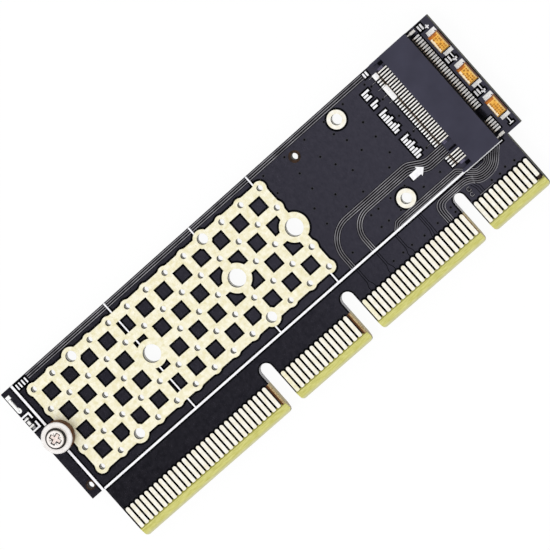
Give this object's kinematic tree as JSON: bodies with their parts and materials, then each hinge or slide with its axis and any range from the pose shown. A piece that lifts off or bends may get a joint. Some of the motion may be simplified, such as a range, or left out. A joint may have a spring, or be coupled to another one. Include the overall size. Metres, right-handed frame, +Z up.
{
  "type": "nvme adapter card",
  "caption": "Flat adapter card with a keyed gold edge connector, a slot for a plug-in storage module, a screw standoff, a copper cooling grid, capacitors and an indicator lamp.",
  "frame": {"origin": "middle of the card's outline, level with the foot of the nut that the card rests on", "axes": "+X along the card towards the capacitors, +Y from the edge fingers to the far long edge, +Z up from the face that carries the socket"},
  "size_m": [0.0896, 0.0316, 0.0074],
  "materials": {
    "board_mask": "satin dark solder mask over glass-epoxy laminate",
    "gold_plate": "thin gold plating over copper",
    "socket_plastic": "moulded, fine matt texture",
    "contact_metal": "gold and tin plated spring bronze",
    "capacitor_resin": "moulded resin, satin",
    "lead_metal": "tin plated",
    "nickel_plate": "nickel plated",
    "screw_steel": "bright plated",
    "lamp_white": "white laminate",
    "lamp_resin": "milky resin",
    "resistor_ceramic": "glazed"
  },
  "bodies": {
    "root": {"circuit_board": "board_mask", "gold_fingers_front": "gold_plate", "gold_fingers_back": "gold_plate", "socket_housing": "socket_plastic", "lower_contacts": "contact_metal", "upper_contacts": "contact_metal", "hold_down_tabs": "contact_metal", "capacitor_1_body": "capacitor_resin", "capacitor_1_leads": "lead_metal", "capacitor_2_body": "capacitor_resin", "capacitor_2_leads": "lead_metal", "capacitor_3_body": "capacitor_resin", "capacitor_3_leads": "lead_metal", "capacitor_pads": "gold_plate", "standoff": "nickel_plate", "standoff_nut": "nickel_plate", "clamp_screw": "screw_steel", "lamp_base": "lamp_white", "lamp_lens": "lamp_resin", "resistor_body": "resistor_ceramic", "resistor_ends": "lead_metal"}
  },
  "joints": []
}
